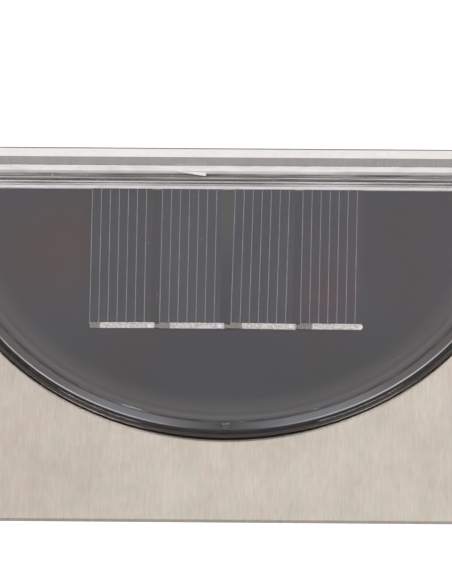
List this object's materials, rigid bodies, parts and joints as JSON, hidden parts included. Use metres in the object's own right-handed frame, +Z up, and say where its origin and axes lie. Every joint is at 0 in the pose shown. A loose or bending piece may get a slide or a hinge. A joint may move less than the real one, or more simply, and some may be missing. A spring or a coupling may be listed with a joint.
{
  "type": "fence light",
  "caption": "Solar fence light that hangs on a wall bracket: a sloping steel hood with a half-moon solar window on top and a downward lamp under it.",
  "frame": {"origin": "on the fence's face, midway between the two screw holes of the wall bracket", "axes": "+X along the fence, +Y into the fence, +Z up"},
  "size_m": [0.14, 0.0763, 0.072],
  "materials": {
    "stainless": "brushed",
    "bracket_steel": "mill",
    "rivet_metal": "satin",
    "seal_rubber": "matte",
    "clear_plastic": "clear",
    "silicone": "satin",
    "board_black": "satin",
    "silicon": "satin",
    "tinned_copper": "bright",
    "black_plastic": "satin",
    "zinc_steel": "satin",
    "frosted_plastic": "frosted",
    "reflector_chrome": "polished",
    "board_green": "satin",
    "led_epoxy": "clear",
    "component_black": "satin",
    "lead_sleeve": "satin",
    "battery_sleeve": "gloss",
    "nickel": "satin",
    "knob_plastic": "satin"
  },
  "bodies": {
    "bracket": {"wall_bracket": "bracket_steel"},
    "lamp": {"back_plate": "stainless", "hood": "stainless", "hood_rivets": "rivet_metal", "lens_gasket": "seal_rubber", "solar_lens": "clear_plastic", "sealant_bead": "silicone", "panel_board": "board_black", "solar_cell_1": "silicon", "solar_cell_2": "silicon", "solar_cell_3": "silicon", "solar_cell_4": "silicon", "cell_ribbons": "tinned_copper", "panel_tray": "black_plastic", "hood_studs": "zinc_steel", "stud_nuts": "zinc_steel", "lamp_housing": "black_plastic", "diffuser": "frosted_plastic", "reflector": "reflector_chrome", "led_board": "board_green", "leds": "led_epoxy", "control_board": "board_green", "board_parts": "component_black", "panel_leads": "lead_sleeve", "battery": "battery_sleeve", "contact_leaf": "nickel", "contact_spring": "nickel", "contact_plate": "nickel", "board_pins": "tinned_copper", "switch_body": "component_black"},
    "door": {"battery_door": "black_plastic"},
    "knob": {"switch_knob": "knob_plastic"}
  },
  "joints": [
    {"name": "lamp_lift", "type": "slide", "parent": "bracket", "child": "lamp", "axis": [0, 0, 1], "range_m": [0, 0.012]},
    {"name": "door_drop", "type": "slide", "parent": "lamp", "child": "door", "axis": [0, 0, -1], "range_m": [0, 0.014]},
    {"name": "knob_slide", "type": "slide", "parent": "lamp", "child": "knob", "axis": [1, 0, 0], "range_m": [0, 0.0026]}
  ]
}
